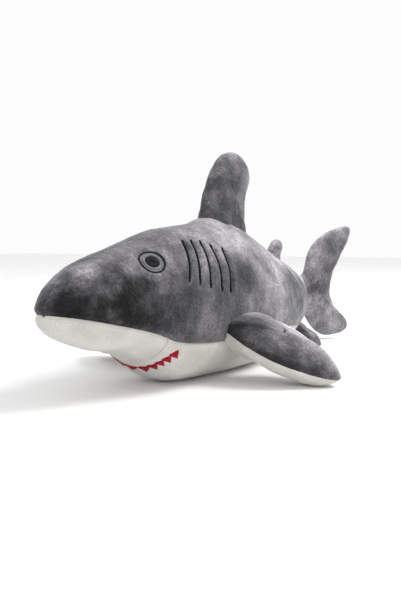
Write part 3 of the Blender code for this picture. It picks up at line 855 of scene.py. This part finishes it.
def inflate(points, faces, pinned, seam, cap):
    """Blow a sewn shape up as cloth under pressure, its seam drawn tighter than its panels."""
    thing = mesh_object("soft_form", points, faces, GREY)
    pins = thing.vertex_groups.new(name="pins")
    pins.add([int(i) for i in pinned], 1.0, "REPLACE")
    tight = thing.vertex_groups.new(name="seam")
    tight.add([int(i) for i in seam], 1.0, "REPLACE")
    cloth = thing.modifiers.new("cloth", "CLOTH")
    settings = cloth.settings
    settings.quality = 5
    settings.mass = 0.3
    settings.tension_stiffness = 18
    settings.compression_stiffness = 18
    settings.shear_stiffness = 6
    settings.bending_stiffness = 0.2
    settings.use_pressure = True
    settings.uniform_pressure_force = 4
    settings.vertex_group_mass = "pins"
    settings.vertex_group_shrink = "seam"
    settings.shrink_min = -0.01
    settings.shrink_max = 0.07
    settings.effector_weights.gravity = 0
    cloth.point_cache.frame_start = 1
    cloth.point_cache.frame_end = CLOTH_FRAMES
    scene = bpy.context.scene
    for number in range(1, CLOTH_FRAMES + 1):
        scene.frame_set(number)
    graph = bpy.context.evaluated_depsgraph_get()
    result = thing.evaluated_get(graph).data
    after = np.empty(len(result.vertices) * 3)
    result.vertices.foreach_get("co", after)
    after = after.reshape(-1, 3)
    bpy.data.objects.remove(thing, do_unlink=True)
    scene.frame_set(1)
    move = after - points
    far = np.linalg.norm(move, axis=1, keepdims=True)
    move = move * np.minimum(1, cap / np.maximum(far, 1e-9))
    edges = np.array([(face[i], face[i - 1]) for face in faces for i in range(len(face))])
    for _ in range(EASING):
        total = move.copy()
        count = np.ones((len(points), 1))
        for here, there in ((0, 1), (1, 0)):
            np.add.at(total, edges[:, here], move[edges[:, there]])
            np.add.at(count, edges[:, here], 1)
        move = total / count
    return points + move


def point_normals(points, faces):
    """Unit normals at the points of a mesh."""
    quads = np.array([f if len(f) == 4 else f + (f[2],) for f in faces])
    a = points[quads[:, 2]] - points[quads[:, 0]]
    b = points[quads[:, 3]] - points[quads[:, 1]]
    short = quads[:, 2] == quads[:, 3]
    a[short] = (points[quads[:, 1]] - points[quads[:, 0]])[short]
    face = np.cross(a, b)
    total = np.zeros_like(points)
    for k in range(4):
        np.add.at(total, quads[:, k], face)
    return total / np.maximum(np.linalg.norm(total, axis=1, keepdims=True), 1e-12)


def sub_mesh(points, faces):
    """Only the points that these faces use."""
    used = sorted({i for f in faces for i in f})
    index = {old: new for new, old in enumerate(used)}
    return points[used], [tuple(index[i] for i in f) for f in faces]


def dress(points, faces, seam, seed):
    """Lumps of filling and puckers along the seam of a fin."""
    normals = point_normals(points, faces)
    seam_points = points[seam]
    near = np.full(len(points), 1.0)
    for spot in seam_points:
        near = np.minimum(near, np.linalg.norm(points - spot, axis=1))
    away = value_noise(points, 0.020, seed) * 0.0010 + value_noise(points, 0.009, seed + 4) * 0.0003
    pucker = value_noise(points, 0.006, seed + 7) * 0.0005 * groove(near, 0.010)
    return points + normals * (away + pucker)[:, None], normals


def make_fin(name, shape, pieces, seed):
    """Both panels of a fin from its form."""
    points, above, below, seam = shape
    dressed, normals = dress(points, above + below, seam, seed)
    dressed = dressed + normals * tufts(dressed, seed)[:, None]
    dressed[:, 2] = np.maximum(dressed[:, 2], 0.0006)
    for faces, (suffix, material, slot, nodes) in zip((above, below), pieces):
        part, indexed = sub_mesh(dressed, faces)
        thing = mesh_object(name + suffix, part, indexed, material)
        refine = thing.modifiers.new("smooth", "SUBSURF")
        refine.levels = refine.render_levels = 1
        thicken(thing, SKIN_THICK)
        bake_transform(thing)
        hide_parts(*[name + node for node in nodes])


def form_of(frame, edge, sunk, centre, thick, belly=1.0):
    """The sewn and stuffed form of a fin; belly is how much fuller its underside is."""
    points, above, below, uv = pillow(frame, edge, sunk, centre, thick, belly)
    sunk_row = np.array(sunk)
    depth = np.linalg.norm(uv[:RIM, None] - sunk_row[None], axis=2).min(axis=1)
    pinned = np.nonzero(depth < 0.010)[0]
    points = inflate(points, above + below, pinned, range(RIM), CLOTH_CAP)
    return points, above, below, list(range(RIM))


def make_fins():
    both = (("left_skin", GREY, "grey_plush", ["left_panel", "stuffing"]),
            ("right_skin", GREY, "grey_plush", ["right_panel"]))
    dorsal = (("left_skin", DORSAL_GREY, "grey_plush", ["left_panel", "stuffing"]),
              ("right_skin", DORSAL_GREY, "grey_plush", ["right_panel"]))
    frame = upright_frame(*DORSAL)
    shape = form_of(frame, DORSAL_EDGE, [(0.098, -0.022), (0.055, -0.026), (0.014, -0.020)],
                    (0.059, 0.036), 0.0200)
    make_fin("dorsal_", shape, dorsal,
             51)
    frame = upright_frame(*SECOND)
    shape = form_of(frame, SECOND_EDGE, [(0.037, -0.022), (0.018, -0.020), (0.003, -0.014)],
                    (0.023, 0.006), 0.0090)
    make_fin("second_dorsal_", shape, both,
             61)
    frame = tail_frame()
    shape = form_of(frame, CAUDAL_EDGE, [(-0.008, 0.056), (-0.010, 0.080), (-0.008, 0.102)],
                    (0.026, 0.086), 0.0130)
    make_fin("caudal_", shape, both,
             71)
    pectoral = side_frame(0.250, 0.0800, 0.0580, 25, 7, 0.05)
    pelvic = side_frame(0.472, 0.0510, 0.0350, 42, 10, -0.42)
    kinds = (
        ("pectoral_", pectoral, 0.250, PECTORAL_EDGE,
         [(0.030, -0.024), (0.000, -0.028), (-0.034, -0.024)],
         (0.004, 0.044), 0.0215, 1.32, 0.040, FIN_GREY, WHITE, "white_plush", 81, 0.009),
        ("pelvic_", pelvic, 0.472, PELVIC_EDGE,
         [(0.014, -0.014), (0.000, -0.015), (-0.014, -0.014)],
         (0.002, 0.018), 0.0090, 1.0, 0.018, DORSAL_GREY, DORSAL_GREY, "grey_plush", 91, 0),
    )
    for (kind, frame, station, edge, sunk, centre, thick, belly, bend,
         over, under, slot, seed, lift) in kinds:
        points, above, below, seam = form_of(frame, edge, sunk, centre, thick, belly)
        start = frame[0] + frame[2] * 0.002
        end = frame[0] + frame[2] * bend
        pieces = (("upper_skin", over, "grey_plush", ["upper_panel", "stuffing"]),
                  ("lower_skin", under, slot, ["lower_panel"]))
        make_fin("left_" + kind, (points, above, below, seam), pieces,
                 seed)
        flipped = [f[::-1] for f in above], [f[::-1] for f in below]
        if lift:
            out = np.clip((points - frame[0]) @ frame[2] / 0.12, 0, 1)
            points = points + np.array([0, 0, lift]) * (out**1.5)[:, None]
        ends = mirrored(np.array([start, end]), station)
        make_fin("right_" + kind, (mirrored(points, station), *flipped, seam), pieces,
                 seed + 3)


# ---------------------------------------------------------------- embroidery and applique
def skin_tree():
    flat = SKIN.reshape(-1, 3)
    faces = grid_faces(ROWS, UPPER + LOWER, closed=True)
    return BVHTree.FromPolygons([tuple(p) for p in flat], faces)


TREE = skin_tree()


def drop(points, normals, lift):
    """Points moved onto the skin along their normals, then lifted off it."""
    settled = []
    for point, normal, rise in zip(points.reshape(-1, 3), normals.reshape(-1, 3), lift.reshape(-1)):
        hit = TREE.ray_cast(Vector(point + normal * 0.006), Vector(-normal), 0.02)[0]
        base = np.array(hit) if hit else point
        settled.append(base + normal * rise)
    return np.array(settled).reshape(points.shape)


def local_frame(station, angle, side):
    """Point on the skin, outward normal, and directions to the tail and upwards."""
    turned = angle if side > 0 else 180 - angle
    point, normal = on_skin(station, turned)
    ahead = on_skin(station + 0.004, turned)[0] - on_skin(station - 0.004, turned)[0]
    back = unit(ahead - normal * ahead.dot(normal))
    up = np.cross(normal, back) * side
    return point, normal, back, up


def embroider(name, top, bottom, closed, material, nodes):
    """A closed slab of stitches from grids of its raised face and its underside."""
    rows, columns = top.shape[:2]
    points = np.vstack([top.reshape(-1, 3), bottom.reshape(-1, 3)])
    count = rows * columns
    faces = grid_faces(rows, columns, closed)
    faces += [tuple(i + count for i in reversed(f)) for f in faces]
    rims = []
    last = columns if closed else columns - 1
    for row, forward in ((0, True), (rows - 1, False)):
        for k in range(last):
            a = row * columns + k
            b = row * columns + (k + 1) % columns
            rims.append((a, b, b + count, a + count) if forward else (b, a, a + count, b + count))
    if not closed:
        for column, forward in ((0, False), (columns - 1, True)):
            for i in range(rows - 1):
                a = i * columns + column
                b = a + columns
                wall = (a, b, b + count, a + count)
                rims.append(wall if forward else (b, a, a + count, b + count))
    thing = mesh_object(name, points, faces + rims, material)
    shape = bmesh.new()
    shape.from_mesh(thing.data)
    bmesh.ops.recalc_face_normals(shape, faces=shape.faces)
    shape.to_mesh(thing.data)
    shape.free()
    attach(thing, "body")
    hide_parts(*nodes)
    return thing


def eye_band(name, side, inner, outer, rise, material, node):
    """A ring of satin stitches, each running from its inner edge to its outer one."""
    stitches = int(math.pi * (inner + outer) / 0.0008)
    around = stitches * 4
    turn = np.arange(around) / around * 2 * math.pi
    share = np.linspace(0, 1, 9)
    point, normal, back, up = local_frame(EYE[0], EYE[1], side)
    radius = inner + (outer - inner) * share
    wide = radius[:, None] * np.cos(turn)[None]
    tall = radius[:, None] * np.sin(turn)[None] * 0.90
    flat = point + wide[..., None] * back + tall[..., None] * up
    normals = np.broadcast_to(normal, flat.shape)
    crown = np.sqrt(np.clip(1 - (2 * share - 1 if inner > 0.001 else share)**2, 0, 1))[:, None]
    thread_shape = 0.80 + 0.20 * np.abs(np.sin(turn * stitches / 2))[None]
    height = 0.0002 + rise * crown * thread_shape
    top = drop(flat, normals, height)
    bottom = drop(flat, normals, np.full(height.shape, -0.0006))
    if side < 0:
        top, bottom = top[:, ::-1], bottom[:, ::-1]
    embroider(name, top, bottom, True, material, [node])


def make_eyes():
    bands = (           # part of the eye, inner and outer radius, rise, thread and its slot
        ("ring", 0.0145, 0.0167, 0.0011, BLACK, "black_thread"),
        ("iris", 0.0092, 0.0120, 0.0012, PALE, "grey_thread"),
        ("pupil", 0.00005, 0.0087, 0.0014, BLACK, "black_thread"),
    )
    for name, side in (("left_eye_", 1), ("right_eye_", -1)):
        for part, inner, outer, rise, material, slot in bands:
            eye_band(name + part + "_stitches", side, inner, outer, rise,
                     material, name + part)


def ribbon(name, path, low, high, side, rise, pitch, material, nodes):
    """A strip of satin stitches along a path; low and high are its edges beside it at each step."""
    stations, angles = path
    turned = angles if side > 0 else 180 - angles
    spots, normals = on_skin(stations, turned)
    normals = normals + 0.0
    for _ in range(6):
        normals[1:-1] = (normals[:-2] + normals[1:-1] * 2 + normals[2:]) / 4
    normals /= np.linalg.norm(normals, axis=1, keepdims=True)
    along = np.gradient(spots, axis=0)
    along -= normals * np.sum(along * normals, axis=1, keepdims=True)
    along /= np.linalg.norm(along, axis=1, keepdims=True)
    beside = np.cross(normals, along) * side
    share = np.linspace(0, 1, 7)
    offset = low[:, None] + (high - low)[:, None] * share[None]
    flat = spots[:, None] + beside[:, None] * offset[..., None]
    full = np.repeat(normals[:, None], 7, axis=1)
    travelled = np.concatenate([[0], np.cumsum(np.linalg.norm(np.diff(spots, axis=0), axis=1))])
    ridges = 0.78 + 0.22 * np.abs(np.sin(math.pi * (travelled[:, None] + 0.6 * offset) / pitch))
    crown = np.sqrt(np.clip(1 - (2 * share - 1)**2, 0, 1))[None]
    to_end = np.minimum(travelled, travelled[-1] - travelled)
    taper = np.sqrt(np.clip(to_end / 0.0015, 0.05, 1))[:, None]
    top = drop(flat, full, 0.0002 + rise * crown * ridges * taper)
    bottom = drop(flat, full, np.full(top.shape[:2], -0.0006))
    embroider(name, top, bottom, False, material, nodes)


def make_gills():
    for name, side in (("left_", 1), ("right_", -1)):
        for number, gill in enumerate(GILLS, start=1):
            t = np.linspace(0, 1, 150)
            half = 0.00115 * np.clip(np.minimum(t, 1 - t) * 14, 0.35, 1)
            ribbon(name + "gill_thread_" + str(number), gill_path(gill, t), -half, half, side,
                   0.0022, 0.0011, BLACK, [name + "gill_stitch_" + str(number)])


def make_mouth():
    """A row of red teeth from each corner of the mouth to the chin."""
    teeth = TEETH
    line = smooth_line(MOUTH_PATH, 60)
    for name, side in (("left_", 1), ("right_", -1)):
        count = 45 * teeth
        spots = np.linspace(0.0, 1.0, count) * (len(line) - 1)
        back = RIGHT_TEETH_BACK * np.sin(np.pi * spots / (len(line) - 1)) if side < 0 else 0.0
        path = tuple(np.interp(spots, np.arange(len(line)), column) for column in line.T)
        path = (path[0] + back, path[1])
        share = np.linspace(0, teeth, count) % 1
        share[-1] = 1
        if side < 0:
            share = 1 - share
        peak = np.interp(share, [0, 0.80, 1.0], [0.0032, 0.0122, 0.0032])
        foot = np.interp(share, [0, 0.10, 1.0], [0.0004, 0.0010, -0.0014])
        ends = np.clip(np.minimum(np.arange(count), np.arange(count)[::-1]) / 8, 0, 1)
        middle = (peak + foot) / 2
        ribbon(name + "mouth_teeth", path,
               middle + (foot - middle) * ends, middle + (peak - middle) * ends,
               side, 0.0011, 0.0009, RED, [name + "mouth_applique"])



make_body()
make_fins()
make_eyes()
make_gills()
make_mouth()
